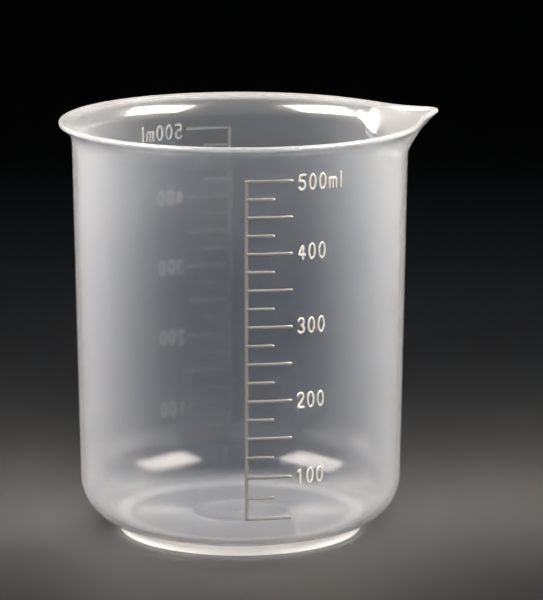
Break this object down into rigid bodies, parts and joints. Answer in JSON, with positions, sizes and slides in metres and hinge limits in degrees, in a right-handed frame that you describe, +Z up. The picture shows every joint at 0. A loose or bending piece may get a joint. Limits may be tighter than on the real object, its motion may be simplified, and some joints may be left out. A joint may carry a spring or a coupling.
{
  "type": "beaker",
  "caption": "Low-form plastic laboratory beaker with a flared rim, pouring spout, foot ring and raised graduated scales on both sides.",
  "frame": {"origin": "where the vessel's axis meets the plane that the foot ring stands on", "axes": "+Z up the vessel's axis, +X through the pouring spout, +Y to the side of the rear scale"},
  "size_m": [0.1002, 0.0932, 0.1084],
  "materials": {
    "body_plastic": "translucent milky polypropylene, smooth moulded surface",
    "raised_marks": "the same plastic, in low relief that catches the light"
  },
  "bodies": {
    "root": {"side_wall": "body_plastic", "heel": "body_plastic", "floor": "body_plastic", "foot_ring": "body_plastic", "rim_lip": "body_plastic", "spout": "body_plastic", "gate_ring": "body_plastic", "gate_nub": "body_plastic", "scale_spine_front": "raised_marks", "long_ticks_front": "raised_marks", "short_ticks_front": "raised_marks", "numerals_500ml_front": "raised_marks", "numerals_400_front": "raised_marks", "numerals_300_front": "raised_marks", "numerals_200_front": "raised_marks", "numerals_100_front": "raised_marks", "scale_spine_rear": "raised_marks", "long_ticks_rear": "raised_marks", "short_ticks_rear": "raised_marks", "numerals_500ml_rear": "raised_marks", "numerals_400_rear": "raised_marks", "numerals_300_rear": "raised_marks", "numerals_200_rear": "raised_marks", "numerals_100_rear": "raised_marks"}
  },
  "joints": []
}
